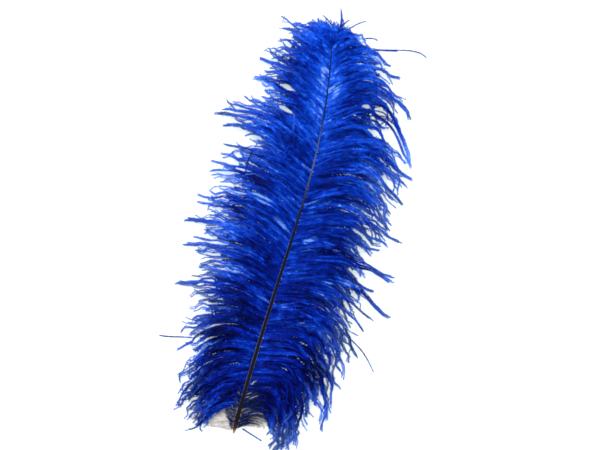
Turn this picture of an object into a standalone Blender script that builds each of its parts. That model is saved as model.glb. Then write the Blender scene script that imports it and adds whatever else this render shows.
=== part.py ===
"""An ostrich feather lying face up: a bowed, arched quill, a soft flue along each side of it, and a tuft of
undyed down on each side of its base.

Metres. +Y runs along the quill from its base to its tip, +X is the side of the longer barbs, and +Z is up.
The shaft arches, so the flues spring from it like a low roof and rest on their outer ends, at z = 0. The
feather's bounding box is centred on the origin in X and Y.
"""

import math

import bmesh
import bpy
import numpy as np

MM = 0.001

# The shaft's centre line.
SHAFT_LENGTH = 338 * MM
SIDE_BOW = 10 * MM
LOWER_BOW = 1.5 * MM
BASE_HEIGHT = 2.4 * MM
TIP_HEIGHT = 5 * MM
ARCH = 13 * MM
QUILL_ROUNDNESS = 4

# The soft sheets beside it: GAP keeps them clear of the shaft, FLUFF is how far their crest stands above it and
# TIP_FLATTENING the share of that which is lost at the tip.
GAP = 0.35 * MM
FLUFF = 9 * MM
TIP_FLATTENING = 0.45
THICKNESS = 3.2 * MM
EDGE_THICKNESS = 2.4 * MM
LOCK_RELIEF = 1.1 * MM
DOWN_HEIGHT = 6 * MM
COLUMNS = 12

# Shares of a lock's own length: where its bend lies, where its crest is and from where it rests on the ground; and
# the share of the crest's height by which it is lower at the shaft.
BARB_REACH = 0.5
CREST_AT = 0.28
RESTS_FROM = 0.86
SHAFT_DIP = 0.4

ROYAL_BLUE = (0.003, 0.03, 0.45)
PALE_DOWN = (0.55, 0.54, 0.52)

# Distance from the shaft's base and radius there, in millimetres: pointed end, thick quill, fine tip.
QUILL_RADII = (
    (-3.5, 0.5),
    (-1.5, 0.8),
    (1, 1.5),
    (8, 1.95),
    (30, 1.85),
    (60, 1.75),
    (90, 1.65),
    (120, 1.5),
    (150, 1.4),
    (175, 1.25),
    (200, 1.05),
    (225, 0.9),
    (250, 0.8),
    (270, 0.7),
    (290, 0.6),
    (310, 0.5),
    (325, 0.4),
    (338, 0.3),
)

# One row for each lock of barbs and each dip between two locks, from the base upwards: the distance along the
# shaft at which it leaves, the angle in degrees between it and the shaft's forward direction there, and the x
# and y of its end, in millimetres from the shaft's base.
LEFT_LOCKS = (
    (16, 100, -48, -4),
    (22, 93, -57, 13),
    (30, 90, -58, 27),
    (38, 88, -56, 40),
    (46, 84, -61, 50),
    (56, 80, -68, 61),
    (62, 78, -63, 67),
    (69, 76, -70, 73),
    (76, 74, -63, 80),
    (83, 72, -72, 88),
    (91, 71, -68, 98),
    (99, 70, -78, 107),
    (108, 69, -65, 117),
    (116, 68, -65, 128),
    (125, 67, -79, 139),
    (134, 66, -71, 149),
    (143, 65, -84, 161),
    (152, 64, -71, 171),
    (161, 63, -78, 183),
    (171, 62, -70, 195),
    (181, 61, -74, 206),
    (192, 60, -68, 220),
    (204, 59, -57, 237),
    (217, 58, -80, 252),
    (229, 57, -63, 265),
    (242, 56, -38, 274),
    (255, 55, -50, 286),
    (268, 54, -56, 299),
    (281, 54, -55, 312),
    (295, 53, -50, 325),
    (309, 50, -36, 337),
    (322, 45, -24, 345),
    (331, 36, -13, 349),
    (338.5, 16, -3, 352),
)
RIGHT_LOCKS = (
    (26, 82, 38, -4),
    (29, 79, 53, -2),
    (33, 77, 66, 5),
    (38, 75, 73, 17),
    (44, 74, 75, 28),
    (51, 73, 69, 41),
    (58, 72, 77, 54),
    (66, 71, 79, 67),
    (74, 70, 82, 79),
    (83, 69, 87, 91),
    (92, 68, 84, 105),
    (102, 68, 92, 115),
    (112, 67, 101, 123),
    (122, 67, 87, 138),
    (132, 66, 99, 152),
    (143, 66, 85, 170),
    (154, 65, 97, 184),
    (165, 64, 90, 199),
    (177, 63, 92, 215),
    (189, 62, 91, 230),
    (201, 61, 93, 241),
    (214, 60, 81, 261),
    (227, 60, 71, 272),
    (240, 60, 78, 286),
    (253, 59, 71, 299),
    (267, 58, 62, 313),
    (281, 56, 52, 323),
    (295, 53, 42, 334),
    (309, 50, 31, 342),
    (322, 45, 20, 346),
    (331, 36, 11, 349),
    (338.5, 16, 3, 352),
)
LEFT_DOWN = (
    (3, 112, -15, -4),
    (6, 107, -26, -6),
    (9.5, 103, -33, -4),
    (13, 101, -37, -1),
)
RIGHT_DOWN = (
    (7, 86, 15, 2),
    (11, 86, 22, 3),
    (16, 85, 27, 5),
    (21.5, 84, 29, 9),
)


def shaft_x(y):
    """How far the shaft bows to the side at this distance from its base."""
    u = np.clip(y / SHAFT_LENGTH, 0, 1)
    return SIDE_BOW * np.sin(math.pi * u**1.9) + LOWER_BOW * (1 - u) * np.sin(math.pi * u)


def shaft_z(y):
    """The height of the shaft's centre line: low at both ends, arched between them."""
    u = np.clip(y / SHAFT_LENGTH, 0, 1)
    return BASE_HEIGHT + (TIP_HEIGHT - BASE_HEIGHT) * u + ARCH * np.sin(math.pi * u)


def shaft_radius(y):
    distances, radii = np.array(QUILL_RADII).T * MM
    return np.interp(y, distances, radii)


def make_quill(material):
    """A round rod along the shaft's centre line, thick at the base and fine at the tip, closed at both ends."""
    curve = bpy.data.curves.new("quill", "CURVE")
    curve.dimensions = "3D"
    curve.bevel_depth = 1
    curve.bevel_resolution = QUILL_ROUNDNESS
    curve.use_fill_caps = True
    line = curve.splines.new("POLY")
    line.points.add(len(QUILL_RADII) - 1)
    for point, (distance, radius) in zip(line.points, QUILL_RADII):
        y = distance * MM
        point.co = (shaft_x(y), y, shaft_z(y), 1)
        point.radius = radius * MM
    line.use_smooth = True
    return add_node("quill", curve, material)


def lock_paths(locks, side):
    """Each lock leaves the shaft in its own direction and curves to its end: a grid of x and y.

    A path is a parabola from the shaft to the lock's end, drawn by the point where its two end directions meet.
    """
    roots, angles, end_x, end_y = np.array(locks, float).T
    roots = roots * MM
    start_x = shaft_x(roots) + side * (shaft_radius(roots) + GAP)
    starts = np.stack([start_x, roots], axis=1)
    ends = np.stack([end_x, end_y], axis=1) * MM
    slopes = (shaft_x(roots + MM) - shaft_x(roots - MM)) / (2 * MM)
    headings = side * np.radians(angles) + np.arctan(slopes)
    reach = BARB_REACH * np.linalg.norm(ends - starts, axis=1)
    bends = starts + reach[:, None] * np.stack([np.sin(headings), np.cos(headings)], axis=1)
    v = np.linspace(0, 1, COLUMNS)[None, :, None]
    return (1 - v) ** 2 * starts[:, None] + 2 * v * (1 - v) * bends[:, None] + v**2 * ends[:, None]


def crown(v):
    """The share of the crest's height from the shaft, v = 0, over the crest and down to the edge, v = 1.

    It rises as a parabola to the crest, falls as a quarter of a cosine wave, and is level where the ends rest.
    """
    rise = 1 - SHAFT_DIP * ((CREST_AT - v) / CREST_AT) ** 2
    falling = np.clip((v - CREST_AT) / (RESTS_FROM - CREST_AT), 0, 1)
    fall = np.cos(0.5 * math.pi * falling**1.3)
    return np.where(v < CREST_AT, rise, fall)


def make_flue(name, locks, side, crest, material):
    """A closed soft sheet: crowned, with a thin edge that follows the ends of its locks and rests on z = 0.

    crest holds the height of the crown's highest line for each lock. The crown is drawn lock by lock and then
    extruded down by its thickness, but not below z = 0.
    """
    plan = lock_paths(locks, side)
    v = np.linspace(0, 1, COLUMNS)
    shape = bmesh.new()
    rows = []
    for index, (path, height) in enumerate(zip(plan, crest)):
        relief = LOCK_RELIEF if index % 2 == 0 else -LOCK_RELIEF
        share = crown(v)
        top = EDGE_THICKNESS + (height - EDGE_THICKNESS + relief) * share
        rows.append([shape.verts.new((x, y, z)) for (x, y), z in zip(path, top)])
    for near, far in zip(rows, rows[1:]):
        for column in range(COLUMNS - 1):
            shape.faces.new((near[column], near[column + 1], far[column + 1], far[column]))
    below = bmesh.ops.extrude_face_region(shape, geom=list(shape.faces), use_keep_orig=True)
    for part in below["geom"]:
        if isinstance(part, bmesh.types.BMVert):
            part.co.z = max(0, part.co.z - THICKNESS)
    bmesh.ops.recalc_face_normals(shape, faces=list(shape.faces))
    mesh = bpy.data.meshes.new(name)
    shape.to_mesh(mesh)
    shape.free()
    return add_node(name, mesh, material)


def make_vane(name, locks, side, material):
    """A flue: its crest stands above the shaft, and less so towards the tip."""
    roots = np.array(locks, float)[:, 0] * MM
    crest = shaft_z(roots) + FLUFF * (1 - TIP_FLATTENING * (roots / SHAFT_LENGTH) ** 4)
    return make_flue(name, locks, side, crest, material)


def make_down(name, locks, side, material):
    """A low tuft of down beside the base."""
    return make_flue(name, locks, side, np.full(len(locks), DOWN_HEIGHT), material)


def plain_material(name, colour, roughness):
    material = bpy.data.materials.new(name)
    material.use_nodes = True
    shader = material.node_tree.nodes["Principled BSDF"]
    shader.inputs["Base Color"].default_value = (*colour, 1)
    shader.inputs["Roughness"].default_value = roughness
    return material


def add_node(name, shape, material):
    shape.materials.append(material)
    node = bpy.data.objects.new(name, shape)
    bpy.context.scene.collection.objects.link(node)
    return node


def centre_on_origin(nodes):
    """Parents the nodes to an empty that puts the feather's bounding box over the origin, resting at z = 0."""
    feather = bpy.data.objects.new("feather", None)
    bpy.context.scene.collection.objects.link(feather)
    bpy.context.view_layer.update()
    corners = np.array([corner[:] for node in nodes for corner in node.bound_box])
    middle = (corners.min(axis=0) + corners.max(axis=0)) / 2
    feather.location = (-middle[0], -middle[1], -corners[:, 2].min())
    for node in nodes:
        node.parent = feather


def build():
    for thing in list(bpy.data.objects):
        bpy.data.objects.remove(thing)
    horn = plain_material("quill_horn", (0.02, 0.018, 0.03), 0.4)
    blue_left = plain_material("left_vane_barbs", ROYAL_BLUE, 0.7)
    blue_right = plain_material("right_vane_barbs", ROYAL_BLUE, 0.7)
    pale_left = plain_material("left_down_barbs", PALE_DOWN, 0.8)
    pale_right = plain_material("right_down_barbs", PALE_DOWN, 0.8)
    centre_on_origin(
        [
            make_quill(horn),
            make_vane("left_vane", LEFT_LOCKS, -1, blue_left),
            make_vane("right_vane", RIGHT_LOCKS, 1, blue_right),
            make_down("left_down", LEFT_DOWN, -1, pale_left),
            make_down("right_down", RIGHT_DOWN, 1, pale_right),
        ]
    )


build()
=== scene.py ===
"""The looks of a dyed ostrich plume that lies face up: a dark quill, hundreds of loose blue barbs with their
barbules on each side of it, and pale down beside its base.

Lengths are in millimetres until a mesh is made. The feather's own axes run from the base of the shaft: x
across it, towards the longer barbs, y along it to the tip, and z up from the surface that it lies on.
"""

import math

import bpy
import numpy as np
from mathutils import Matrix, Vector


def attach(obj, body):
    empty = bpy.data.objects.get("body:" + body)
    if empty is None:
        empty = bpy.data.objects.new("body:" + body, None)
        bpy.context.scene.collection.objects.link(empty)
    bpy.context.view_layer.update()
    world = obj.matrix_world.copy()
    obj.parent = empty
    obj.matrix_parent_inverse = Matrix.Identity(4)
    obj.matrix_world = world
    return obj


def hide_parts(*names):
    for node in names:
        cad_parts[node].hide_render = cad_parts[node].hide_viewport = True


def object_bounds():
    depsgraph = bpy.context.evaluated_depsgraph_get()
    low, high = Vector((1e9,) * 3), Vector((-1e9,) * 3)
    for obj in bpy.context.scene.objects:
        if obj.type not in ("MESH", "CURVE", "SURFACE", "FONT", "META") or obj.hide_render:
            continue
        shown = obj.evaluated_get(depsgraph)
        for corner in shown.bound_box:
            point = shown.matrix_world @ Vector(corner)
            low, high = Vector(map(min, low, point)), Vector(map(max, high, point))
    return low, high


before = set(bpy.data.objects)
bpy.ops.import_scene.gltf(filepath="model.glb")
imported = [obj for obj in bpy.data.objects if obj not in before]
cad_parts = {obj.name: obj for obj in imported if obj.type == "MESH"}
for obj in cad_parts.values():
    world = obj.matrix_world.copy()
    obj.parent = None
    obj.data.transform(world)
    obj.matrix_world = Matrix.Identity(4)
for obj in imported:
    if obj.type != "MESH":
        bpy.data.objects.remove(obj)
cad_low, cad_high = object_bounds()

MM = 0.001

# The view: its middle on the feather's own axes, its width there, and how far the feather leans in it.
VIEW_MIDDLE = np.array([11.7, 179.2, 12.0])
VIEW_WIDTH = 498.0
LEAN = math.radians(14.04)

# The shaft, as the CAD has it, and how far the CAD's box reaches from its base to the left and backwards.
LEFT_REACH = 84.0
BASE_REACH = 6.0
SHAFT_LENGTH = 338.0
SIDE_BOW = 10.0
LOWER_BOW = 1.5
BASE_HEIGHT = 2.4
TIP_HEIGHT = 5.0
ARCH = 13.0

# The distance from the shaft's base and the radius there: pointed end, thick quill, fine tip.
QUILL_RADII = (
    (-3.5, 0.45), (-2.5, 0.7), (-1, 1.05), (1, 1.5), (8, 1.95), (30, 1.85),
    (60, 1.75), (90, 1.65), (120, 1.5), (150, 1.4), (175, 1.25), (200, 1.05),
    (225, 0.9), (250, 0.8), (270, 0.7), (290, 0.65), (310, 0.58), (325, 0.5),
    (338, 0.3),
)

# The shaft's base, where the feather's own axes start, in the frame.
BASE_POINT = np.array([cad_low.x / MM + LEFT_REACH, cad_low.y / MM + BASE_REACH, 0.0])

# The quill's mesh, and the groove along its underside: the share of the radius that it takes, and half its
# width in radians.
QUILL_RINGS = 150
QUILL_SIDES = 20
GROOVE_DEPTH = 0.28
GROOVE_HALF_WIDTH = 0.45

# How closely the barbs of a flue's upper layer, its lining and the pale down stand along the shaft.
BARB_SPACING = 0.74
LINING_SPACING = 1.25
DOWN_SPACING = 0.42

# One barb: the steps along it, its radius at the shaft, how far out from the shaft's centre line it starts as
# a share of the shaft's radius, and the lowest that its own line and its barbules' tips lie.
BARB_STEPS = 16
BARB_RADIUS = 0.17
LOOSE_RADIUS = 0.3
STARTS_AT = 0.7
LOWEST = 0.35
LOWEST_TIP = 0.12

# Barbules: how many stand on a millimetre of one side of a barb, their length, half the width of their root,
# and the angle in degrees by which they lean away from the barb. Then by how much that angle scatters, how
# much they tilt up or down, as a tangent, and the share of their length by which they sag.
FLUE_BARBULES = (4.1, 2.1, 0.2, 34)
LINING_BARBULES = (2.2, 3.4, 0.8, 45)
DOWN_BARBULES = (4.5, 3.0, 0.19, 44)
DARK_BARBULES = (4.0, 1.4, 0.17, 30)
TIP_BARBULES = (4.1, 2.0, 0.19, 34)
LOOSE_BARBULES = (8, 1.9, 0.2, 26)
ANGLE_SCATTER = 9
TILT = 0.3
SAG = 0.12

# A barb's bend in plan: how sharp it is on the left and on the right, and the share of the barb at which it
# lies. A barb that turns by more than TURNS_FAR, in radians, bends sooner, by BENDS_SOONER for each radian of
# up to MORE_TURN. CURL is how much a strand's ends curl, in radians.
BEND_SHARPNESS = {-1: (1.8, 3.6), 1: (2.6, 5.5)}
BENDS_AT = (0.4, 0.62)
TURNS_FAR = 0.6
MORE_TURN = 0.7
BENDS_SOONER = 0.3
CURL = 0.45

# Its height: the shares of the barb at which it is highest and from which it is down at its end's height, and
# the share of the flue's fluff at which a strand crests.
CREST_AT = 0.28
RESTS_FROM = 0.86
STRAND_CRESTS = (-0.3, 1.0)

# How barbs gather: the fewest and most barbs in a strand, the strands in a lock, the share of the barb from
# which they draw together and over which they do so, by how much they join their strand and their lock, and
# how far apart the barbs of one strand stay.
STRAND_SIZES = (2, 4)
LOCK_STRANDS = 3
GATHERS_FROM = 0.35
GATHERS_OVER = 0.55
JOINS_STRAND = (0.65, 0.95)
JOINS_LOCK = 0.2
STRAND_GAP = 0.4

# How ends and directions scatter: standard deviations of the end's x and y and, in degrees, of the angle at
# the shaft, for a lock, for a strand in it, for a barb in that and for a barb that doesn't gather. About one
# strand in seven strays further than the rest. Near the base there is more disorder on each side, by these
# shares, and it fades between two distances.
LOCK_SCATTER = (1.6, 1.5)
STRAND_SCATTER = (2.6, 3.6, 1.5)
BARB_SCATTER = (1.5, 2.0, 3.0)
EVEN_SCATTER = (1.5, 3.0)
STRAYS = 0.15
STRAYING = 2.2
DISORDER_AT_BASE = {-1: 0.25, 1: 0.6}
DISORDER_FADES = (70, 150)

# A barb that reaches less than FULL_SCATTER sideways scatters less, down to LEAST_SCATTER of the usual. A
# strand that stands out by design has only FREEDOM of it.
FULL_SCATTER = 60
LEAST_SCATTER = 0.2
FREEDOM = 0.12

# How roots scatter along the shaft, in the upper layer and in a strand that stands out.
ROOT_SCATTER = 0.2
STANDING_SCATTER = 0.8

# A barb's ripples: each wave's number on its length and its share, and how wide they are for a strand and for
# the barbs in it.
WAVES = ((1.3, 0.8), (3.6, 0.8), (8.0, 0.45))
STRAND_SWAY = (0.8, 2.9)
BARB_SWAY = (0.1, 0.4)

# The share of its path that a barb has: by strand in the upper layer, by how much less a barb of it may have,
# the share of barbs that break off and what they keep, and the shares of the lining's and the tufts' barbs.
STRAND_CUT = (0.84, 1.0)
BARB_CUT = 0.1
STANDING_CUT = 0.07
BROKEN = 0.15
BROKEN_KEEP = 0.8
LINING_CUT = (0.5, 0.74)
DOWN_CUT = (0.75, 1.0)
DARK_CUT = (0.4, 1.0)

# How each lock of barbs runs, from the base upwards: the distance along the shaft at which it leaves, the
# angle in degrees between it and the shaft's forward direction there, and the x and y of its end.
LEFT_LOCKS = (
    (20, 98, -25, -5), (27, 104, -31, -7), (34, 108, -37, -5), (41, 110, -43, -4),
    (48, 110, -48, -2), (54, 108, -52, 2), (59, 106, -55, 8), (64, 103, -57, 15),
    (68, 100, -59, 21), (71, 97, -60, 27), (74, 94, -57, 35), (77, 91, -60, 43),
    (80, 88, -61, 49), (82, 86, -62, 54), (84, 84, -67, 60), (87, 82, -67, 66),
    (90, 80, -69, 72), (93, 78, -65, 79), (96, 76, -71, 86), (99, 74, -70, 93),
    (103, 73, -71, 100), (108, 72, -76, 106), (113, 71, -67, 113), (118, 70, -65, 122),
    (124, 70, -65, 128), (130, 69, -71, 134), (136, 68, -78, 140), (142, 67, -75, 150),
    (148, 66, -83, 161), (154, 66, -75, 168), (160, 65, -72, 173), (166, 64, -77, 178),
    (172, 63, -77, 184), (178, 62, -71, 193), (184, 61, -71, 200), (190, 60, -74, 206),
    (196, 60, -74, 213), (202, 60, -71, 218), (208, 60, -68, 224), (214, 59, -61, 231),
    (220, 58, -58, 238), (226, 57, -61, 246), (230, 57, -73, 246), (234, 57, -80, 252),
    (238, 56, -72, 258), (242, 56, -66, 264), (246, 56, -60, 269), (250, 56, -44, 272),
    (256, 56, -43, 275), (262, 56, -46, 281), (268, 56, -52, 287), (274, 56, -56, 291),
    (280, 56, -55, 297), (286, 56, -55, 302), (292, 55, -56, 307), (298, 54, -54, 313),
    (304, 53, -52, 320), (310, 53, -50, 326), (316, 52, -47, 332), (321, 51, -42, 335),
    (325, 49, -37, 338), (329, 46, -33, 341), (332, 41, -29, 344), (335, 32, -23, 347),
    (338, 14, -14, 350),
)
RIGHT_LOCKS = (
    (22, 86, 32, 1), (27, 84, 34, -6), (32, 81, 37, -10), (37, 79, 41, -10),
    (42, 77, 44, -9), (48, 75, 48, -5), (53, 74, 53, -1), (58, 73, 58, 4),
    (63, 72, 63, 10), (68, 71, 67, 18), (73, 71, 70, 26), (78, 71, 69, 35),
    (83, 70, 71, 44), (88, 70, 73, 52), (94, 69, 75, 60), (99, 69, 76, 68),
    (104, 68, 77, 76), (110, 68, 76, 85), (116, 68, 77, 93), (122, 67, 79, 101),
    (128, 67, 80, 108), (134, 66, 81, 116), (140, 66, 79, 124), (146, 65, 79, 131),
    (152, 65, 80, 139), (158, 64, 80, 147), (164, 64, 80, 154), (170, 63, 79, 161),
    (176, 63, 80, 167), (182, 62, 83, 173), (188, 62, 86, 178), (194, 61, 88, 184),
    (200, 61, 90, 190), (206, 60, 90, 196), (212, 60, 90, 202), (218, 59, 91, 207),
    (224, 59, 91, 213), (230, 58, 90, 219), (236, 58, 90, 226), (242, 57, 90, 233),
    (248, 57, 88, 240), (254, 57, 80, 249), (260, 57, 66, 259), (266, 57, 58, 269),
    (272, 56, 62, 276), (278, 56, 72, 278), (284, 55, 77, 288), (290, 55, 71, 296),
    (296, 54, 62, 304), (302, 53, 59, 312), (308, 53, 54, 319), (314, 52, 49, 325),
    (319, 51, 44, 330), (324, 48, 38, 335), (328, 45, 32, 339), (332, 40, 25, 343),
    (335, 30, 17, 347), (338, 12, 7, 350),
)

# Strands that stand out from the rest: the same four numbers, and how many barbs each holds.
LEFT_PROJECTING = (
    (82, 86, -64, 54, 3), (108, 71, -79, 106, 6), (132, 69, -79, 139, 6), (137, 68, -74, 149, 3),
    (146, 67, -84, 161, 7), (164, 65, -79, 177, 3), (170, 64, -78, 184, 3), (192, 61, -74, 205, 3),
    (196, 61, -74, 213, 3), (206, 60, -68, 221, 3), (212, 58, -68, 229, 3), (218, 57, -57, 247, 3),
    (228, 58, -73, 245, 5), (233, 57, -82, 252, 5), (237, 56, -74, 257, 4), (240, 55, -67, 264, 2),
    (243, 53, -64, 272, 2), (258, 52, -48, 276, 3), (262, 52, -45, 282, 3), (270, 54, -57, 288, 4),
    (283, 55, -56, 307, 6),
)
RIGHT_PROJECTING = (
    (30, 80, 33, -9, 5), (34, 79, 36, -10, 5), (38, 78, 37, -10, 6), (44, 76, 42, -9, 6),
    (52, 75, 47, -7, 5), (56, 74, 52, -2, 4), (62, 74, 73, 15, 3), (68, 73, 76, 25, 4),
    (86, 70, 77, 53, 4), (92, 70, 78, 65, 3), (95, 69, 81, 77, 3), (99, 69, 86, 82, 4),
    (119, 69, 84, 106, 3), (124, 68, 91, 115, 3), (130, 67, 103, 121, 7), (140, 66, 86, 140, 5),
    (147, 66, 100, 149, 6), (152, 66, 101, 155, 4), (164, 65, 83, 173, 4), (176, 64, 89, 180, 4),
    (182, 64, 98, 185, 4), (222, 60, 91, 216, 3), (232, 59, 92, 231, 3), (238, 59, 95, 238, 5),
    (262, 52, 90, 246, 6), (268, 51, 86, 252, 4), (276, 53, 77, 275, 4), (288, 54, 81, 288, 7),
    (304, 52, 63, 316, 5),
)

# Down at the base, and the dark short barbs over it.
LEFT_DOWN = (
    (1, 118, -9, 1),
    (4, 113, -20, 0),
    (7, 108, -30, -1),
    (10, 103, -38, 0),
    (13, 98, -42, 4),
    (16, 94, -42, 9),
)
RIGHT_DOWN = (
    (4, 66, 14, 7),
    (8, 64, 22, 7),
    (12, 62, 29, 8),
    (16, 60, 33, 10),
    (20, 58, 34, 13),
    (24, 57, 34, 17),
)
LEFT_DARK = (
    (1, 80, -5, 3),
    (5, 78, -9, 9),
    (10, 76, -14, 14),
    (16, 72, -13, 22),
    (24, 66, -8, 32),
    (34, 56, -4, 44),
)
RIGHT_DARK = (
    (1, 50, 14, 9),
    (5, 50, 26, 10),
    (10, 50, 33, 12),
    (16, 48, 35, 19),
    (24, 46, 30, 32),
    (32, 42, 19, 46),
    (42, 36, 9, 60),
)

# Loose barbs: the points that each passes, with its height there.
LOOSE_BARBS = (
    ((4, 340, 9), (4, 349, 7), (3, 356, 5), (1, 363, 3)),
    ((5, 341, 9), (5, 349, 7), (4, 355, 5), (2, 361, 3)),
    ((3, 342, 9), (6, 349, 7), (5, 354, 6)),
    ((8, 342, 8), (12, 348, 6), (18, 354, 4), (24, 358, 3)),
    ((5, 346, 7), (7, 351, 6), (10, 355, 5)),
    ((-2, 346, 7), (-6, 350, 5), (-12, 354, 3)),
    ((-28, 337, 4), (-35, 340, 3), (-40, 343, 2), (-46, 345, 1)),
    ((24, 342, 4), (31, 345, 3), (37, 345, 2)),
    ((34, 337, 4), (45, 338, 3), (58, 342, 3), (70, 343, 2), (80, 341, 2)),
    ((34, 335, 4), (45, 338, 3), (55, 340, 2)),
    ((-52, 66, 3), (-63, 64, 2), (-72, 62, 1), (-80, 61, 1)),
    ((58, 104, 5), (72, 98, 4), (82, 94, 3), (92, 85, 2), (101, 75, 1)),
    ((6, 2, 1), (12, 0, 1), (18, -2, 1), (24, -4, 1)),
    ((-3, 24, 8), (-18, 17, 9), (-26, 6, 7), (-30, -3, 5), (-40, -11, 2)),
    ((-4, 22, 8), (-17, 16, 9), (-25, 5, 7), (-29, -3, 5), (-37, -9, 2)),
    ((-4, 20, 8), (-16, 14, 8), (-25, 4, 7), (-28, -3, 5), (-26, -8, 3)),
    ((-6, 19, 8), (-20, 13, 8), (-30, 4, 6), (-35, -3, 3)),
    ((-15, 228, 22), (-12, 240, 23), (-12, 252, 23), (-15, 266, 21)),
    ((-16, 230, 22), (-13, 242, 23), (-13, 252, 23), (-14, 262, 21)),
    ((-40, 204, 14), (-43, 214, 14), (-42, 226, 14), (-39, 236, 13)),
    ((-37, 218, 16), (-34, 207, 17), (-26, 194, 18)),
    ((-35, 216, 16), (-31, 205, 17), (-24, 196, 18)),
    ((45, 300, 9), (48, 290, 8), (44, 281, 8), (47, 270, 7)),
    ((42, 284, 9), (52, 287, 7), (60, 285, 6), (61, 277, 5)),
    ((56, 293, 7), (60, 287, 6), (59, 280, 5), (54, 276, 5)),
    ((55, 298, 7), (64, 291, 5), (65, 281, 3)),
    ((44, 285, 9), (53, 278, 8), (62, 266, 7), (68, 250, 6), (72, 240, 5)),
)

# Patches of painted light and shade on a flue, where it is lighter or darker than the rest: the middle's
# place along the barbs and along the shaft, how far the zone reaches from it each way, and how much lighter.
# All are shares, of a barb, of the shaft and of the dye's range.
LEFT_LIGHT_AND_SHADE = (
    (0.35, 0.26, 0.25, 0.035, -0.4),
    (0.85, 0.45, 0.35, 0.14, 0.22),
    (0.05, 0.88, 0.2, 0.1, 0.3),
    (0.16, 0.505, 0.08, 0.006, 0.9),
    (0.5, 0.53, 0.12, 0.007, 0.9),
    (0.3, 0.12, 0.4, 0.04, -0.15),
    (0.5, 0.04, 0.5, 0.05, 0.1),
    (0.7, 0.75, 0.4, 0.06, 0.1),
    (0.7, 0.9, 0.3, 0.05, -0.25),
)
RIGHT_LIGHT_AND_SHADE = (
    (0.35, 0.14, 0.3, 0.06, -0.2),
    (0.45, 0.82, 0.2, 0.035, -0.35),
    (0.05, 0.88, 0.2, 0.1, 0.3),
    (0.5, 0.485, 0.1, 0.007, 0.8),
    (0.6, 0.385, 0.1, 0.007, 0.8),
    (0.22, 0.5, 0.08, 0.005, 0.8),
    (0.8, 0.3, 0.25, 0.1, -0.1),
    (0.6, 0.08, 0.3, 0.06, -0.15),
    (0.95, 0.1, 0.15, 0.06, 0.1),
    (0.7, 0.7, 0.3, 0.08, 0.15),
)

# Where the barbs are parted and the surface shows: x and y, then half the opening's length along the barbs
# and half its width across them.
PARTINGS = (
    (-27, 288, 8, 3.2),
    (-24, 270, 9, 3.6),
    (-35, 322, 4, 1.8),
    (-25, 325, 3, 1.6),
    (-44, 241, 9, 2),
    (28, 322, 5, 2.4),
    (41, 288, 4.5, 3.4),
    (54, 287, 7, 5),
    (54, 268, 8, 4),
    (64, 248, 6, 2),
    (77, 229, 6, 3),
    (-38, 81, 10, 1.9),
    (-43, 33, 5, 1.8),
    (-52, 223, 7, 2.8),
    (-58, 207, 8, 2),
    (42, 68, 6, 2),
    (66, 106, 6, 1.8),
    (58, 185, 4, 2),
)


def shaft_x(y):
    """How far the shaft bows to the side: a sine over its length, drawn out towards the base."""
    u = np.clip(y / SHAFT_LENGTH, 0, 1)
    return SIDE_BOW * np.sin(math.pi * u**1.9) + LOWER_BOW * (1 - u) * np.sin(math.pi * u)


def shaft_z(y):
    """The height of the shaft's centre line: a straight rise from base to tip plus half a sine wave."""
    u = np.clip(y / SHAFT_LENGTH, 0, 1)
    return BASE_HEIGHT + (TIP_HEIGHT - BASE_HEIGHT) * u + ARCH * np.sin(math.pi * u)


def shaft_radius(y):
    """The shaft's radius, in a straight line between the distances at which it is given."""
    distances, radii = np.array(QUILL_RADII).T
    return np.interp(y, distances, radii)


def shaft_heading(y):
    """The shaft's direction in plan: the angle from +y towards +x, whose tangent is the slope of its bow."""
    return np.arctan((shaft_x(y + 1) - shaft_x(y - 1)) / 2)


def put_piece(name, points, triangles, uv, material, slot, *stands_for):
    """Makes a mesh object from arrays of points, triangles and each point's place on the UV map. It fills one
    material slot and stands for nodes of the CAD. slot is not used."""
    mesh = bpy.data.meshes.new(name)
    mesh.vertices.add(len(points))
    mesh.vertices.foreach_set("co", ((points + BASE_POINT) * MM).astype(np.float32).ravel())
    mesh.loops.add(triangles.size)
    mesh.loops.foreach_set("vertex_index", triangles.astype(np.int32).ravel())
    mesh.polygons.add(len(triangles))
    mesh.polygons.foreach_set("loop_start", np.arange(0, triangles.size, 3, dtype=np.int32))
    layer = mesh.uv_layers.new(name="OFBake")
    layer.uv.foreach_set("vector", uv[triangles.ravel()].astype(np.float32).ravel())
    mesh.update(calc_edges=True)
    mesh.validate()
    mesh.materials.append(material)
    piece = bpy.data.objects.new(name, mesh)
    bpy.context.scene.collection.objects.link(piece)
    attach(piece, "root")
    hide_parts(*stands_for)
    return piece


def tube_triangles(rings, sides):
    """Triangles between neighbouring rings of points, for rings stored one after another."""
    ring, side = np.meshgrid(np.arange(rings - 1), np.arange(sides), indexing="ij")
    a = ring * sides + side
    b = ring * sides + (side + 1) % sides
    c = a + sides
    d = b + sides
    return np.stack([np.stack([a, b, d], -1), np.stack([a, d, c], -1)], 2).reshape(-1, 3)


# ---------------------------------------------------------------- the barbs' paths


def turned(t, bending):
    """The share of its whole turn that a barb has made at t along its path: t**g (1 + p**g) / (t**g + p**g),
    so that it starts straight, bends over around the place p, the more sharply the greater g, and ends
    straighter.

    bending holds g and p for each barb.
    """
    power = t ** bending[0][:, None]
    place = (bending[1] ** bending[0])[:, None]
    return power * (1 + place) / (power + place)


def chord(turn, bending):
    """A path of unit length that turns by turn in all: the direction from its start to its end, and the
    distance between them, from the trapezium rule over the sine and cosine of its direction."""
    points = 49
    angle = turn[:, None] * turned(np.linspace(0, 1, points), bending)
    weight = np.full(points, 1 / (points - 1))
    weight[[0, -1]] /= 2
    across = np.sin(angle) @ weight
    along = np.cos(angle) @ weight
    return np.arctan2(across, along), np.hypot(across, along)


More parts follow.
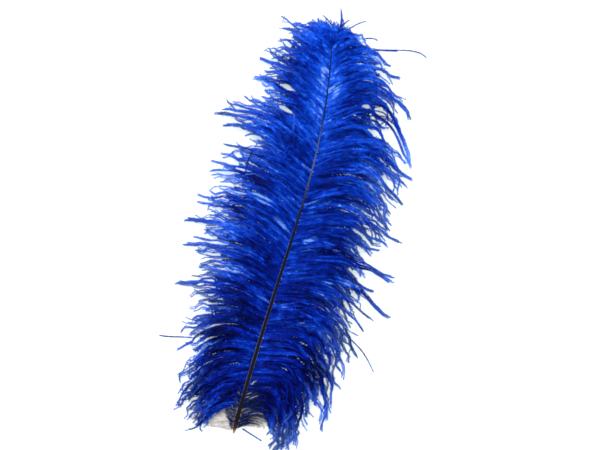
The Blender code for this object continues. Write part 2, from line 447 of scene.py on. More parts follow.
def plan_paths(side, roots, angles, end_x, end_y, bending, curl, cut):
    """x, y and direction of every barb at its steps, and the share of its path run there.

    A barb leaves the side of the shaft at its own angle, and its direction turns by as much as brings it to
    its end; halving finds how much. One that has far to turn bends sooner. Its last third then curls by a
    further angle, as the square of the distance run there. x and y are the sums of its short straight steps.
    cut is the share of the path that the barb has, for ragged ends.
    """
    start_x = shaft_x(roots) + side * STARTS_AT * shaft_radius(roots)
    leave = side * angles + shaft_heading(roots)
    wanted = side * (np.arctan2(end_x - start_x, end_y - roots) - leave)
    wanted = (wanted + math.pi) % (2 * math.pi) - math.pi
    sooner = BENDS_SOONER * np.clip(wanted - TURNS_FAR, 0, MORE_TURN)
    bending = np.stack([bending[0], bending[1] - sooner])
    low = np.full_like(roots, -2.0)
    high = np.full_like(roots, 4.0)
    for _ in range(24):
        turn = (low + high) / 2
        short = chord(turn, bending)[0] < wanted
        low = np.where(short, turn, low)
        high = np.where(short, high, turn)
    length = np.hypot(end_x - start_x, end_y - roots) / chord(turn, bending)[1]
    t = np.linspace(0, 1, BARB_STEPS + 1) * cut[:, None]
    heading = leave[:, None] + (side * turn)[:, None] * turned(t, bending)
    heading = heading + curl[:, None] * np.clip(3 * t - 2, 0, 1) ** 2
    middle = (heading[:, 1:] + heading[:, :-1]) / 2
    step = (length * cut / BARB_STEPS)[:, None]
    nothing = np.zeros((len(roots), 1))
    x = start_x[:, None] + np.cumsum(np.hstack([nothing, np.sin(middle) * step]), axis=1)
    y = roots[:, None] + np.cumsum(np.hstack([nothing, np.cos(middle) * step]), axis=1)
    return x, y, heading, t


def read_locks(locks, roots):
    """The leaving angle and the end of a barb at each root, in a straight line between the rows of a table.
    """
    rows = np.array(locks, float)
    angles, end_x, end_y = (np.interp(roots, rows[:, 0], rows[:, column]) for column in (1, 2, 3))
    return np.radians(angles), end_x, end_y


def scatter_share(end_x):
    """How much of the usual scatter a barb has: in proportion to how far it reaches sideways, between limits.
    """
    return np.clip(np.abs(end_x) / FULL_SCATTER, LEAST_SCATTER, 1)


def group_of(count, smallest, largest, rng):
    """A group number for each barb: neighbours share one, in groups of random size."""
    sizes = rng.integers(smallest, largest + 1, count)
    return np.repeat(np.arange(count), sizes)[:count]


def mean_of(values, group):
    """Each barb's group mean."""
    return (np.bincount(group, values) / np.maximum(np.bincount(group), 1))[group]


def ripples(t, amount, rng, group=None):
    """A sum of sine waves along the barb, growing from nothing at the shaft: the same for all of a group, or
    each barb's own if there are no groups."""
    if group is None:
        group = np.arange(len(t))
    total = np.zeros_like(t)
    for waves, share in WAVES:
        phase = rng.uniform(0, 2 * math.pi, group.max() + 1)[group][:, None]
        rate = rng.uniform(0.8, 1.25, group.max() + 1)[group][:, None]
        total = total + share * np.sin(2 * math.pi * waves * rate * t + phase)
    return amount[:, None] * total * t**1.2


def pushed_aside(x, y, heading, distance):
    """Points moved by a distance across the barb's direction, to its right where that is positive."""
    return x + distance * np.cos(heading), y - distance * np.sin(heading)


def part_barbs(x, y, heading, yields):
    """Pushes the barbs aside at each parting, every one to the side of it that it already runs on, by its
    share in yields.

    A barb whose line passes at g half-widths from the middle moves out to the root of g squared plus 1, and
    the push fades along the barb as a bell curve.
    """
    rows = np.arange(len(x))
    for middle_x, middle_y, half_long, half_wide in PARTINGS:
        off_x, off_y = x - middle_x, y - middle_y
        nearest = np.argmin(np.hypot(off_x, off_y), axis=1)
        sine = np.sin(heading[rows, nearest])[:, None]
        cosine = np.cos(heading[rows, nearest])[:, None]
        gap = (off_x * cosine - off_y * sine)[rows, nearest][:, None] / half_wide
        along = (off_x * sine + off_y * cosine) / half_long
        push = half_wide * np.sign(gap) * (np.sqrt(gap**2 + np.exp(-((gap / 2) ** 2))) - np.abs(gap))
        push = push * yields[:, None] * np.exp(-(along**2))
        x = x + push * cosine
        y = y - push * sine
    return x, y


def barb_heights(t, start, crest, end):
    """A barb's height: a parabola from the shaft up to its crest, then a quarter of a cosine wave down to its
    end."""
    rise = start + (crest - start) * (1 - ((CREST_AT - t) / CREST_AT) ** 2)
    falling = np.clip((t - CREST_AT) / (RESTS_FROM - CREST_AT), 0, 1)
    fall = end + (crest - end) * np.cos(0.5 * math.pi * falling**1.3)
    return np.where(t < CREST_AT, rise, fall)


def gathering(locks, projecting, rng):
    """The barbs of a flue's upper layer before they have a shape: the root of each, the numbers of its strand
    and its lock, and its row in the table of projecting strands, or -1 where it belongs to none."""
    first, last = locks[0][0], locks[-1][0]
    count = int((last - first) / BARB_SPACING)
    strand = group_of(count, *STRAND_SIZES, rng)
    lock = strand // LOCK_STRANDS
    roots = np.linspace(first, last, count) + rng.normal(0, ROOT_SCATTER, count)
    row = np.repeat(np.arange(len(projecting)), projecting[:, 4].astype(int))
    standing_out = projecting[row, 0] + rng.normal(0, STANDING_SCATTER, len(row))
    return (
        np.concatenate([roots, standing_out]),
        np.concatenate([strand, strand.max() + 1 + row]),
        np.concatenate([lock, lock.max() + 1 + row]),
        np.concatenate([np.full(count, -1), row]),
    )


def flue_barbs(side, locks, projecting, rng):
    """Every barb of a flue's upper layer, as points along its path, and its root.

    Barbs gather into strands, and strands into locks: each follows its own path near the shaft, and further
    out is drawn towards the path in the middle of its strand and of its lock. The barbs of a projecting
    strand have a strand and a lock to themselves. The drawing together grows from nothing to its full share
    as 3 r**2 - 2 r**3.
    """
    projecting = np.array(projecting, float)
    roots, strand, lock, row = gathering(locks, projecting, rng)
    standing_out = row >= 0
    count, strands, all_locks = len(roots), strand.max() + 1, lock.max() + 1
    free = np.where(standing_out, FREEDOM, 1.0)

    straying = np.where(rng.random(strands) < STRAYS, STRAYING, 1.0)
    strand_x, strand_y, strand_angle = (
        (rng.normal(0, deviation, strands) * straying)[strand] * free for deviation in STRAND_SCATTER
    )
    disorder = np.interp(roots, DISORDER_FADES, (1.0 + DISORDER_AT_BASE[side], 1.0))
    strand_angle = strand_angle * disorder**2
    sharpness, place = rng.uniform(*BEND_SHARPNESS[side], strands), rng.uniform(*BENDS_AT, strands)
    bending = np.stack([sharpness, place])[:, strand]
    curl = rng.normal(0, CURL, strands)[strand] * free
    lock_x, lock_y = (rng.normal(0, deviation, all_locks)[lock] * free for deviation in LOCK_SCATTER)
    cut = rng.uniform(*STRAND_CUT, strands)[strand] * (1 - BARB_CUT * rng.random(count))
    standing_cut = 1 - STANDING_CUT * rng.random(count)
    cut = np.where(rng.random(count) < BROKEN, BROKEN_KEEP * cut, cut)
    cut = np.where(standing_out, standing_cut, cut)

    def path(root, extra_x, extra_y, extra_angle):
        """The barbs' paths from these roots, with this much added to their ends and leaving angles."""
        angles, end_x, end_y = read_locks(locks, root)
        own = projecting[row[standing_out]]
        angles[standing_out] = np.radians(own[:, 1])
        end_x[standing_out], end_y[standing_out] = own[:, 2], own[:, 3]
        reach = scatter_share(end_x)
        angles = angles + np.radians(reach * extra_angle)
        end_x, end_y = end_x + reach * extra_x, end_y + reach * extra_y
        return plan_paths(side, root, angles, end_x, end_y, bending, reach * curl, cut)

    own_x = strand_x + lock_x + rng.normal(0, BARB_SCATTER[0], count) * free
    own_y = strand_y + lock_y + rng.normal(0, BARB_SCATTER[1], count) * free
    x, y, heading, t = path(roots, own_x, own_y, strand_angle + rng.normal(0, BARB_SCATTER[2], count))
    middle = path(mean_of(roots, strand), strand_x + lock_x, strand_y + lock_y, strand_angle)
    heart = path(mean_of(roots, lock), lock_x, lock_y, 0 * roots)
    ramp = np.clip((t - GATHERS_FROM) / GATHERS_OVER, 0, 1)
    ramp = ramp * ramp * (3 - 2 * ramp)
    to_strand = rng.uniform(*JOINS_STRAND, strands)[strand][:, None] * ramp
    to_lock = JOINS_LOCK * ramp**1.5
    x = x + to_strand * (middle[0] - x) + to_lock * (heart[0] - middle[0])
    y = y + to_strand * (middle[1] - y) + to_lock * (heart[1] - middle[1])

    number = np.arange(count)
    beside = STRAND_GAP * side * (mean_of(1.0 * number, strand) - number)[:, None] * ramp
    amount = rng.uniform(*STRAND_SWAY, strands)[strand] * (0.5 + 0.5 * free) * disorder
    sway = ripples(t, amount, rng, strand) + ripples(t, rng.uniform(*BARB_SWAY, count), rng) + beside
    x, y = pushed_aside(x, y, heading, sway)
    x, y = part_barbs(x, y, heading, np.minimum(rng.uniform(0.35, 1.5, strands), 1.2)[strand])
    z = upper_heights(t, roots, strand, rng)
    order = np.argsort(roots, kind="stable")
    return np.stack([x, y, z], axis=2)[order], roots[order]


def upper_heights(t, roots, strand, rng):
    """The heights of a flue's upper layer: each strand crests at its own share of the flue's fluff above the
    shaft, and most of its ends come down close to the surface, with a gamma distribution of those that don't.
    """
    count, strands = len(roots), strand.max() + 1
    base = shaft_z(roots)
    start = base + rng.uniform(0.0, 0.7, count) * shaft_radius(roots)
    height = rng.uniform(*STRAND_CRESTS, strands)[strand] + rng.normal(0, 0.1, count)
    crest = base + fluff(roots) * height
    end = rng.gamma(1.6, 1.7, strands)[strand] + rng.uniform(0.4, 1.6, count)
    z = barb_heights(t, start[:, None], np.maximum(crest, end + 0.5)[:, None], end[:, None])
    z = z + 0.5 * ripples(t, rng.uniform(0.4, 1.2, count), rng)
    return np.maximum(z, 1.2 + 0.4 * rng.random(count)[:, None])


def even_barbs(side, locks, spacing, cuts, rng):
    """x, y and direction of barbs that don't gather, the places of their points along them, and their roots.

    They are evenly spaced, of random length between two shares of the locks' own, and with their ends spread.
    """
    first, last = locks[0][0], locks[-1][0]
    count = int((last - first) / spacing)
    roots = np.linspace(first, last, count) + rng.normal(0, 0.25 * spacing, count)
    angles, end_x, end_y = read_locks(locks, roots)
    angles = angles + np.radians(rng.normal(0, BARB_SCATTER[2], count))
    reach = scatter_share(end_x)
    end_x = end_x + reach * rng.normal(0, EVEN_SCATTER[0], count)
    end_y = end_y + reach * rng.normal(0, EVEN_SCATTER[1], count)
    bending = np.stack([rng.uniform(*BEND_SHARPNESS[side], count), rng.uniform(*BENDS_AT, count)])
    curl = reach * rng.normal(0, 0.3, count)
    cut = rng.uniform(*cuts, count)
    x, y, heading, t = plan_paths(side, roots, angles, end_x, end_y, bending, curl, cut)
    sway = ripples(t, rng.uniform(0.3, 1.0, count) * reach, rng)
    return *pushed_aside(x, y, heading, sway), heading, t, roots


def lining_barbs(side, locks, rng):
    """The lower layer of a flue: shorter barbs, spread evenly, that run close to the surface."""
    x, y, heading, t, roots = even_barbs(side, locks, LINING_SPACING, LINING_CUT, rng)
    x, y = part_barbs(x, y, heading, np.full(len(roots), 1.15))
    start = shaft_z(roots) - 0.5 * shaft_radius(roots)
    crest = np.maximum(shaft_z(roots) - rng.uniform(0.5, 3.5, len(roots)), 1)
    end = rng.uniform(0.4, 1.0, len(roots))
    z = barb_heights(t, start[:, None], crest[:, None], end[:, None])
    return np.stack([x, y, np.maximum(z, LOWEST)], axis=2), roots


def tuft_barbs(side, locks, spacing, cuts, low, top, rng):
    """The barbs of a tuft beside the base: they rise to a height between low and top, and come down to
    between the surface and half of that."""
    x, y, _, t, roots = even_barbs(side, locks, spacing, cuts, rng)
    crest = rng.uniform(low, top, len(roots))
    start = shaft_z(roots) + shaft_radius(roots) * rng.uniform(-0.5, 0.8, len(roots))
    end = crest * rng.uniform(0.1, 0.5, len(roots))
    z = barb_heights(t, start[:, None], crest[:, None], end[:, None])
    return np.stack([x, y, np.maximum(z, LOWEST)], axis=2)


def tip_barbs(rng):
    """The barbs at the very tip, which fan out both ways over the end of the shaft and bend back down: their
    ends lie about a parabola that opens downwards."""
    count = 110
    roots = rng.uniform(330, 338, count)
    fan = rng.uniform(-1, 1, count)
    end_x = -4 + 22 * fan + rng.normal(0, 2, count)
    end_y = 353 - 7 * fan**2 - rng.gamma(1.5, 2.2, count)
    side = np.where(fan < 0, -1, 1)
    angles = np.radians(4 + 36 * np.abs(fan))
    bending = np.stack([rng.uniform(1.2, 2.2, count), rng.uniform(*BENDS_AT, count)])
    curl = side * rng.uniform(0, 0.7, count)
    cut = rng.uniform(0.8, 1.0, count)
    x, y, heading, t = plan_paths(side, roots, angles, end_x, end_y, bending, curl, cut)
    sway = ripples(t, rng.uniform(0.4, 1.2, count), rng)
    start = shaft_z(roots) + shaft_radius(roots)
    crest = start + rng.uniform(1, 4, count)
    z = barb_heights(t, start[:, None], crest[:, None], rng.uniform(0.8, 5, count)[:, None])
    return np.stack([*pushed_aside(x, y, heading, sway), z], axis=2)[np.argsort(roots)]


def fluff(roots):
    """How far the highest barbs crest above the shaft: less towards the tip, and little at the base."""
    return np.interp(roots, (10, 80, 200, 280, SHAFT_LENGTH), (2.5, 8.5, 9, 7, 5))


def drawn_barbs(lines):
    """Single barbs along given lines: x, y and z are each a polynomial, of the third degree or less, fitted
    to the line's points at even places along it."""
    t = np.linspace(0, 1, BARB_STEPS + 1)
    paths = []
    for line in lines:
        places = np.linspace(0, 1, len(line))
        curves = np.polyfit(places, np.array(line, float), min(3, len(line) - 1))
        paths.append(np.stack([np.polyval(curves[:, axis], t) for axis in range(3)], axis=1))
    return np.array(paths)


# ---------------------------------------------------------------- the barbs' surfaces


def unit(vectors):
    """The vectors, each divided by its length."""
    return vectors / np.maximum(np.linalg.norm(vectors, axis=-1, keepdims=True), 1e-9)


def barb_stems(paths, radius, rows):
    """A three-sided tube along each barb: its radius falls in a straight line to a third, and its end is
    pointed.

    A ring's corners stand at a third of a turn from each other, the first straight over the barb's own line.
    rows holds each barb's place across the UV map; the map's other direction runs along the barb.
    """
    count, steps = paths.shape[:2]
    along = unit(np.gradient(paths, axis=1))
    flat = unit(np.cross(along, [0, 0, 1.0]))
    over = np.cross(flat, along)
    t = np.linspace(0, 1, steps)
    thick = radius * (1 - 0.67 * t)
    thick[-1] = 0.05 * radius
    turn = (math.pi / 2 + 2 * math.pi / 3 * np.arange(3))[:, None]
    around = np.cos(turn) * flat[:, :, None] + np.sin(turn) * over[:, :, None]
    points = (paths[:, :, None] + thick[:, None, None] * around).reshape(-1, 3)
    first = (np.arange(count) * steps * 3)[:, None, None]
    triangles = (tube_triangles(steps, 3)[None, :, ::-1] + first).reshape(-1, 3)
    u = np.broadcast_to(t[None, :, None], (count, steps, 3))
    v = rows[:, None, None] + np.array([-0.2, 0.0, 0.2]) / count
    v = np.broadcast_to(v, (count, steps, 3))
    return points, triangles, np.stack([u, v], axis=-1).reshape(-1, 2)


def barbules(paths, rows, kind, rng):
    """Fine pointed flakes on both sides of every barb: one triangle each, whose short side lies along the
    barb.

    A flake's root is a point on the barb's own line. Its tip lies from there at its length times a direction
    that leans from the barb's by an angle, to one side and a little up or down, and sags by a share of the
    length. kind is a row of the constants for barbules. They are shorter at both ends of the barb.
    """
    density, reach, wide, spread = kind
    steps = paths.shape[1] - 1
    lengths = np.linalg.norm(np.diff(paths, axis=1), axis=2).sum(axis=1)
    counts = np.maximum((2 * density * lengths).astype(int), 2)
    barb = np.repeat(np.arange(len(paths)), counts)
    total = len(barb)
    place = np.arange(total) - np.repeat(np.cumsum(counts) - counts, counts)
    t = 0.006 + 0.994 * np.clip((place + rng.random(total)) / counts[barb], 0, 1)
    below = np.minimum((t * steps).astype(int), steps - 1)
    part = (t * steps - below)[:, None]
    root = paths[barb, below] * (1 - part) + paths[barb, below + 1] * part
    along = unit(paths[barb, below + 1] - paths[barb, below])
    hand = np.where(place % 2 == 0, 1.0, -1.0)[:, None]
    beside = hand * unit(np.cross(along, [0, 0, 1.0]))
    over = np.cross(along, beside) * hand
    lean = np.radians(rng.normal(spread, ANGLE_SCATTER, total))[:, None]
    tilt = rng.normal(0.0, TILT, total)[:, None]
    direction = unit(np.cos(lean) * along + np.sin(lean) * beside + tilt * over)
    long = reach * rng.uniform(0.6, 1.2, total) * np.clip(0.7 + 4 * t, 0, 1) * (1 - 0.2 * t**3)
    half = wide * rng.uniform(0.75, 1.25, total)[:, None]
    tip = root + long[:, None] * direction
    tip[:, 2] -= SAG * long
    tip[:, 2] = np.maximum(tip[:, 2], LOWEST_TIP)
    points = np.stack([root - half * along, root + half * along, tip], axis=1)
    triangles = np.arange(3 * total).reshape(-1, 3)
    triangles[hand[:, 0] > 0] = triangles[hand[:, 0] > 0][:, ::-1]
    grow = long / lengths[barb]
    u = np.stack([t - 0.004, t + 0.004, t + grow], axis=1).clip(0, 1)
    jog = 0.4 * hand[:, 0] / len(paths)
    v = rows[barb][:, None] + np.stack([0 * jog, 0 * jog, jog], axis=1)
    return points.reshape(-1, 3), triangles, np.stack([u, v], axis=-1).reshape(-1, 2)


def join_parts(*parts):
    """One set of points, triangles and map places from several."""
    points, triangles, uv = zip(*parts)
    starts = np.cumsum([0] + [len(group) for group in points[:-1]])
    triangles = [group + start for group, start in zip(triangles, starts)]
    return np.concatenate(points), np.concatenate(triangles), np.concatenate(uv)


def barbs_and_barbules(paths, kind, rng, radius=BARB_RADIUS):
    """Tubes and flakes for barbs along the given paths, with an equal band of the UV map for each."""
    rows = (np.arange(len(paths)) + 0.5) / len(paths)
    stems = barb_stems(paths, radius, rows)
    return join_parts(stems, barbules(paths, rows, kind, rng))


def make_flue(side, side_name, locks, projecting, light_and_shade, rng):
    """A flue's upper layer in three pieces, lower, middle and upper, and its lining: they all stand for one
    soft sheet of the CAD."""
    node = side_name + "_vane"
    paths, roots = flue_barbs(side, locks, projecting, rng)
    lengths = np.linalg.norm(np.diff(paths, axis=1), axis=2).sum(axis=1)
    thirds = np.searchsorted(np.cumsum(lengths) / lengths.sum(), (1 / 3, 2 / 3))
    for part, chosen in zip(("lower", "middle", "upper"), np.split(np.arange(len(roots)), thirds)):
        shape = barbs_and_barbules(paths[chosen], FLUE_BARBULES, rng)
        low, high = roots[chosen[0]] / SHAFT_LENGTH, roots[chosen[-1]] / SHAFT_LENGTH
        name = f"{side_name}_flue_{part}"
        put_piece(name, *shape, dyed_barbs(name, low, high, 1.0, light_and_shade), node, node)
    paths, roots = lining_barbs(side, locks, rng)
    shape = barbs_and_barbules(paths, LINING_BARBULES, rng)
    name = side_name + "_flue_lining"
    # The lining's colours are scaled to 0.75 of the upper layer's: painted shade on the lower layer.
    put_piece(name, *shape, dyed_barbs(name, roots[0] / SHAFT_LENGTH, 1.0, 0.75), node, node)


def make_tufts(side, side_name, down, dark, spacing, rng):
    """The pale down on one side of the base, and the dark short barbs over it, which stand spacing apart."""
    node = side_name + "_down"
    paths = tuft_barbs(side, down, DOWN_SPACING, DOWN_CUT, 1.5, 4, rng)
    shape = barbs_and_barbules(paths, DOWN_BARBULES, rng)
    name = side_name + "_pale_barbs"
    put_piece(name, *shape, pale_barbs(name), node, node)
    paths = tuft_barbs(side, dark, spacing, DARK_CUT, 6, 10, rng)
    shape = barbs_and_barbules(paths, DARK_BARBULES, rng)
    name = side_name + "_dark_barbs"
    put_piece(name, *shape, dark_barbs(name), node, node)


def make_loose_barbs(rng):
    """The fan of barbs at the tip, and the barbs that stray from the flues. Both flues end in them."""
    vanes = ("left_vane", "right_vane")
    shape = barbs_and_barbules(tip_barbs(rng), TIP_BARBULES, rng)
    put_piece("tip_barbs", *shape, dyed_barbs("tip_barbs", 0.96, 1.0, 1.0), vanes[0], *vanes)
    shape = barbs_and_barbules(drawn_barbs(LOOSE_BARBS), LOOSE_BARBULES, rng, LOOSE_RADIUS)
    put_piece("loose_barbs", *shape, dyed_barbs("loose_barbs", 0.3, 0.5, 1.0), vanes[0], *vanes)


# ---------------------------------------------------------------- materials


class Nodes:
    """A material and short calls for its node tree. A value given to them is a number, a colour or a socket.
    """

    def __init__(self, name, roughness, specular=None):
        self.material = bpy.data.materials.new(name)
        self.material.use_nodes = True
        self.tree = self.material.node_tree
        self.shader = self.tree.nodes["Principled BSDF"]
        self.feed(roughness, self.shader.inputs["Roughness"])
        if specular is not None:
            self.feed(specular, self.shader.inputs["Specular IOR Level"])

    def add(self, kind, **settings):
        """A new node with its settings."""
        node = self.tree.nodes.new("ShaderNode" + kind)
        for name, value in settings.items():
            setattr(node, name, value)
        return node

    def feed(self, value, socket):
        """Sets an input socket to a number or a colour, or links it to an output socket."""
        if isinstance(value, tuple):
            socket.default_value = (*value, 1)
        elif isinstance(value, (int, float)):
            socket.default_value = value
        else:
            self.tree.links.new(value, socket)

    def map_place(self):
        """The place on the piece's own UV map: along, across, and the two together."""
        place = self.add("UVMap", uv_map="OFBake")
        split = self.add("SeparateXYZ")
        self.feed(place.outputs["UV"], split.inputs[0])
        return split.outputs["X"], split.outputs["Y"], place.outputs["UV"]

    def noise(self, vector, scale, detail=3.0):
        """Noise between 0 and 1, with its own scale in each direction."""
        mapping = self.add("Mapping")
        mapping.inputs["Scale"].default_value = scale
        self.feed(vector, mapping.inputs["Vector"])
        noise = self.add("TexNoise")
        self.feed(1.0, noise.inputs["Scale"])
        self.feed(detail, noise.inputs["Detail"])
        self.feed(mapping.outputs["Vector"], noise.inputs["Vector"])
        return noise.outputs["Fac"]

    def ramp(self, value, stops):
        """A colour for each value, straight between the stops."""
        ramp = self.add("ValToRGB")
        elements = ramp.color_ramp.elements
        while len(elements) < len(stops):
            elements.new(0.5)
        for element, (position, colour) in zip(elements, stops):
            element.position = position
            element.color = (*colour, 1)
        self.feed(value, ramp.inputs["Fac"])
        return ramp.outputs["Color"]

    def math(self, operation, *values):
        """The result of one operation on one or two values."""
        node = self.add("Math", operation=operation)
        for value, socket in zip(values, node.inputs):
            self.feed(value, socket)
        return node.outputs[0]

    def total(self, *values):
        """The sum of several values."""
        result = values[0]
        for value in values[1:]:
            result = self.math("ADD", result, value)
        return result

    def times(self, first, second):
        """The product of two values."""
        return self.math("MULTIPLY", first, second)

    def blend(self, share, first, second, way="MIX"):
        """Two colours mixed by a share, or multiplied."""
        node = self.add("Mix", data_type="RGBA", blend_type=way)
        for value, index in zip((share, first, second), (0, 6, 7)):
            self.feed(value, node.inputs[index])
        return node.outputs[2]


def dyed_barbs(name, low, high, strength, light_and_shade=()):
    """Royal blue dye, uneven from barb to barb, darker towards the base of the feather and paler at the ends.

    low and high are the piece's lowest and highest place along the shaft, and strength scales all the
    colours;
    below 1, as on the lining, that is painted shade. How light a place is, from 0 to 1, is a sum of three
    noises:
    one for each strand, partly tone from strand to strand and partly painted light and shade of rounded
    strands;
    one of short streaks, partly painted glints; and one of wide patches. Each zone adds its own share to that
    as
    a bell curve: painted light where the share is positive and painted shade where it is negative. The palest
    colours are painted sheen.
    """
    nodes = Nodes(name, roughness=0.45, specular=0.03)
    along, across, place = nodes.map_place()
    long = high - low
    # Strand noise: tone from strand to strand, and also painted shade between strands and light on them.
    strands = nodes.noise(place, (2.5, 95 * long, 1), 4.0)
    # Short streaks: finer tone, and where they are light, painted glints.
    streaks = nodes.noise(place, (13, 260 * long, 1), 2.0)
    patches = nodes.noise(place, (2.2, 11 * long, 1), 2.0)
    noises = ((strands, 1.9), (streaks, 1.1), (patches, 1.1))
    light = nodes.total(*(nodes.times(noise, share) for noise, share in noises), -1.63)
    shaft = nodes.total(nodes.times(across, long), low)
    for barb_at, shaft_at, barb_long, shaft_long, lighter in light_and_shade:
        off_barb = nodes.math("DIVIDE", nodes.total(along, -barb_at), barb_long)
        off_shaft = nodes.math("DIVIDE", nodes.total(shaft, -shaft_at), shaft_long)
        apart = nodes.total(nodes.times(off_barb, off_barb), nodes.times(off_shaft, off_shaft))
        bell = nodes.math("EXPONENT", nodes.times(apart, -1.0))
        light = nodes.total(light, nodes.times(bell, lighter))
    # Both ramps run from near black, partly painted shade between strands, to whitish blue at the top,
    # painted sheen.
    lower = nodes.ramp(
        light,
        (
            (0.12, (0.0, 0.001, 0.04)),
            (0.45, (0.0, 0.01, 0.27)),
            (0.78, (0.004, 0.06, 0.58)),
            (1.0, (0.09, 0.24, 0.74)),
        ),
    )
    upper = nodes.ramp(
        light,
        (
            (0.08, (0.0, 0.008, 0.2)),
            (0.45, (0.001, 0.05, 0.56)),
            (0.78, (0.015, 0.13, 0.78)),
            (1.0, (0.22, 0.4, 0.86)),
        ),
    )
    colour = nodes.blend(nodes.math("POWER", shaft, 2.1), lower, upper)
    # Past seven tenths of a barb's length its colour turns paler and greyer, in streaks.
    paler_ends = nodes.times(nodes.total(along, -0.7), nodes.times(streaks, 1.9))
    paler_ends = nodes.math("MINIMUM", nodes.math("MAXIMUM", paler_ends, 0.0), 0.4)
    colour = nodes.blend(paler_ends, colour, (0.13, 0.3, 0.72))
    colour = nodes.blend(1.0, colour, (strength, strength, strength), "MULTIPLY")
    nodes.feed(colour, nodes.shader.inputs["Base Color"])
    return nodes.material


def streaked(name, scale, stops, roughness, specular):
    """Undyed barbs: one noise, drawn out along them by its scale, picks the colour of each place."""
    nodes = Nodes(name, roughness, specular)
    _, _, place = nodes.map_place()
    nodes.feed(nodes.ramp(nodes.noise(place, scale), stops), nodes.shader.inputs["Base Color"])
    return nodes.material


def pale_barbs(name):
    """Undyed down: warm pale grey, streaked from barb to barb."""
    stops = ((0.3, (0.32, 0.31, 0.3)), (0.5, (0.52, 0.5, 0.49)), (0.7, (0.72, 0.7, 0.68)))
    return streaked(name, (3, 18, 1), stops, roughness=0.7, specular=0.1)


def dark_barbs(name):
    """Dark short barbs: mostly black with a blue cast, some brown and a few nearly as pale as the down."""
    stops = (
        (0.4, (0.001, 0.003, 0.02)),
        (0.54, (0.002, 0.012, 0.11)),
        (0.6, (0.03, 0.035, 0.05)),
        (0.68, (0.3, 0.3, 0.28)),
    )
    return streaked(name, (1.5, 24, 1), stops, roughness=0.5, specular=0.05)


def horn():
    """The shaft: a pinkish point, black-brown and then blue-black, with a painted grey-blue highlight high
    up, and paler rims.

    The map's first direction runs along it and its second from one side, over the top, to the other.
    """
    nodes = Nodes("horn", roughness=0.4, specular=0.035)
    along, across, place = nodes.map_place()
    core_and_highlight = nodes.ramp(
        along,
        (
            (0.009, (0.5, 0.12, 0.09)),
            (0.017, (0.06, 0.025, 0.02)),
            (0.035, (0.006, 0.005, 0.006)),
            (0.5, (0.002, 0.003, 0.012)),
            # From 0.57 to 0.8 along the shaft these stops paint a grey-blue highlight.
            (0.57, (0.004, 0.008, 0.03)),
            (0.62, (0.02, 0.03, 0.08)),
            (0.68, (0.05, 0.075, 0.17)),
            (0.75, (0.04, 0.06, 0.16)),
            (0.8, (0.002, 0.01, 0.08)),
        ),
    )
    rim = nodes.ramp(
        along,
        (
            (0.02, (0.01, 0.01, 0.012)),
            (0.12, (0.13, 0.14, 0.16)),
            (0.5, (0.06, 0.09, 0.18)),
            (0.6, (0.002, 0.006, 0.04)),
        ),
    )
    side = nodes.math("ABSOLUTE", nodes.total(across, -0.5))
    grain = nodes.noise(place, (160, 5, 1), 2.0)
    share = nodes.times(nodes.total(side, -0.19), nodes.times(grain, 9.0))
    nodes.feed(nodes.blend(share, core_and_highlight, rim), nodes.shader.inputs["Base Color"])
    return nodes.material


# ---------------------------------------------------------------- the quill


def make_quill():
    """A tapering rod swept along the shaft's centre line, with a groove along its underside.

    Its section is a circle, whose radius is less around its lowest point by a bell curve. Rings of the
    section stand upright and square to the shaft's direction in plan, and a fan of triangles closes each end.
    """
    distances = np.array(QUILL_RADII)[:, 0]
    y = np.linspace(distances[0], distances[-1], QUILL_RINGS)[:, None]
    turn = np.linspace(0, 2 * math.pi, QUILL_SIDES, endpoint=False)
    notch = GROOVE_DEPTH * np.exp(-(((turn - 1.5 * math.pi) / GROOVE_HALF_WIDTH) ** 2))
    radius = shaft_radius(y) * (1 - notch)
    x, y_all = pushed_aside(shaft_x(y), y, shaft_heading(y), radius * np.cos(turn))
    points = np.stack([x, y_all, shaft_z(y) + radius * np.sin(turn)], axis=2).reshape(-1, 3)
    ends = np.stack([points[:QUILL_SIDES].mean(axis=0), points[-QUILL_SIDES:].mean(axis=0)])
    points = np.concatenate([points, ends])
    rim = np.arange(QUILL_SIDES)
    following = (rim + 1) % QUILL_SIDES
    last = (QUILL_RINGS - 1) * QUILL_SIDES
    start_cap = np.stack([rim, following, np.full(QUILL_SIDES, len(points) - 2)], axis=1)
    end_cap = np.stack([last + following, last + rim, np.full(QUILL_SIDES, len(points) - 1)], axis=1)
    triangles = np.concatenate([tube_triangles(QUILL_RINGS, QUILL_SIDES)[:, ::-1], start_cap, end_cap])
    u = np.repeat(0.004 + 0.992 * (y[:, 0] - y[0]) / (y[-1] - y[0]), QUILL_SIDES)
    v = np.tile(np.abs(turn - math.pi) / math.pi, QUILL_RINGS)
    uv = np.concatenate([np.stack([u, v], axis=1), [[0, 0.5], [1, 0.5]]])
    quill = put_piece("quill_shaft", points, triangles, uv, horn(), "quill", "quill")
    quill.data.shade_smooth()


# ---------------------------------------------------------------- floor, light and camera


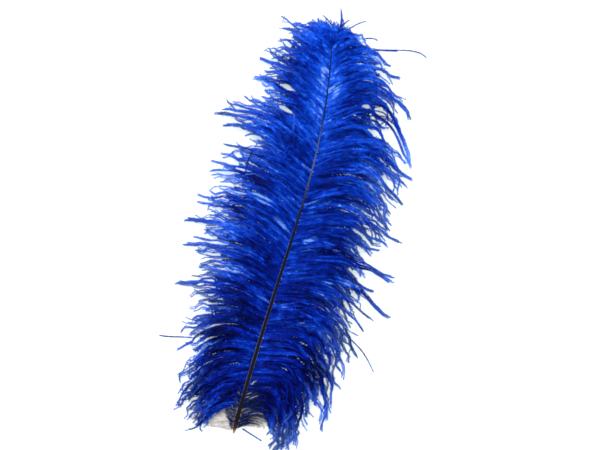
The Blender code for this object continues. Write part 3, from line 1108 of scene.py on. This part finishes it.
def make_floor():
    """A level white surface, a square in one plane. It glows a little, so that it stays pale where the
    feather's barbs part and shade it."""
    reach = 3.0
    corners = [(-reach, -reach, 0), (reach, -reach, 0), (reach, reach, 0), (-reach, reach, 0)]
    paper = Nodes("floor", roughness=0.9)
    paper.feed((0.5, 0.5, 0.5), paper.shader.inputs["Base Color"])
    # The glow is tinted pale blue-green: painted light, so that the shaded gaps under the barbs read pale
    # blue.
    paper.feed((0.76, 0.9, 0.88), paper.shader.inputs["Emission Color"])
    paper.feed(0.6, paper.shader.inputs["Emission Strength"])
    mesh = bpy.data.meshes.new("floor")
    mesh.from_pydata(corners, [], [(0, 1, 2, 3)])
    mesh.materials.append(paper.material)
    floor = bpy.data.objects.new("floor", mesh)
    bpy.context.scene.collection.objects.link(floor)


def make_light():
    """A wide soft lamp up to the left, a weaker one on the right, and a pale room all round."""
    for name, place, size, power in (
        ("key", (-0.8, 0.7, 1.5), 0.9, 38.0),
        ("fill", (1.0, -0.3, 1.4), 1.4, 6.0),
    ):
        lamp = bpy.data.lights.new(name, "AREA")
        lamp.energy = power
        lamp.size = size
        lamp_object = bpy.data.objects.new(name, lamp)
        lamp_object.location = place
        lamp_object.rotation_euler = (-Vector(place)).to_track_quat("-Z", "Y").to_euler()
        bpy.context.scene.collection.objects.link(lamp_object)
    world = bpy.data.worlds.new("room")
    world.use_nodes = True
    world.node_tree.nodes["Background"].inputs["Color"].default_value = (1, 1, 1, 1)
    world.node_tree.nodes["Background"].inputs["Strength"].default_value = 0.95
    bpy.context.scene.world = world


def make_camera():
    """Straight down on the feather from about a metre up, turned so that the feather leans to the right."""
    middle = VIEW_MIDDLE + BASE_POINT
    camera = bpy.data.cameras.new("camera")
    camera.lens = 85.0
    camera.sensor_width = 36.0
    camera.clip_end = 20
    distance = VIEW_WIDTH * camera.lens / camera.sensor_width
    eye = bpy.data.objects.new("camera", camera)
    eye.location = Vector((middle + (0, 0, distance)) * MM)
    eye.rotation_euler = (0, 0, LEAN)
    bpy.context.scene.collection.objects.link(eye)
    bpy.context.scene.camera = eye


def main():
    """The whole scene. One generator gives every random number, so the pieces are always made in this order.
    """
    rng = np.random.default_rng(11)
    make_quill()
    make_flue(-1, "left", LEFT_LOCKS, LEFT_PROJECTING, LEFT_LIGHT_AND_SHADE, rng)
    make_flue(1, "right", RIGHT_LOCKS, RIGHT_PROJECTING, RIGHT_LIGHT_AND_SHADE, rng)
    make_tufts(-1, "left", LEFT_DOWN, LEFT_DARK, 0.6, rng)
    make_tufts(1, "right", RIGHT_DOWN, RIGHT_DARK, 0.45, rng)
    make_loose_barbs(rng)
    make_floor()
    make_light()
    make_camera()
    bpy.context.scene.view_settings.view_transform = "Standard"


main()
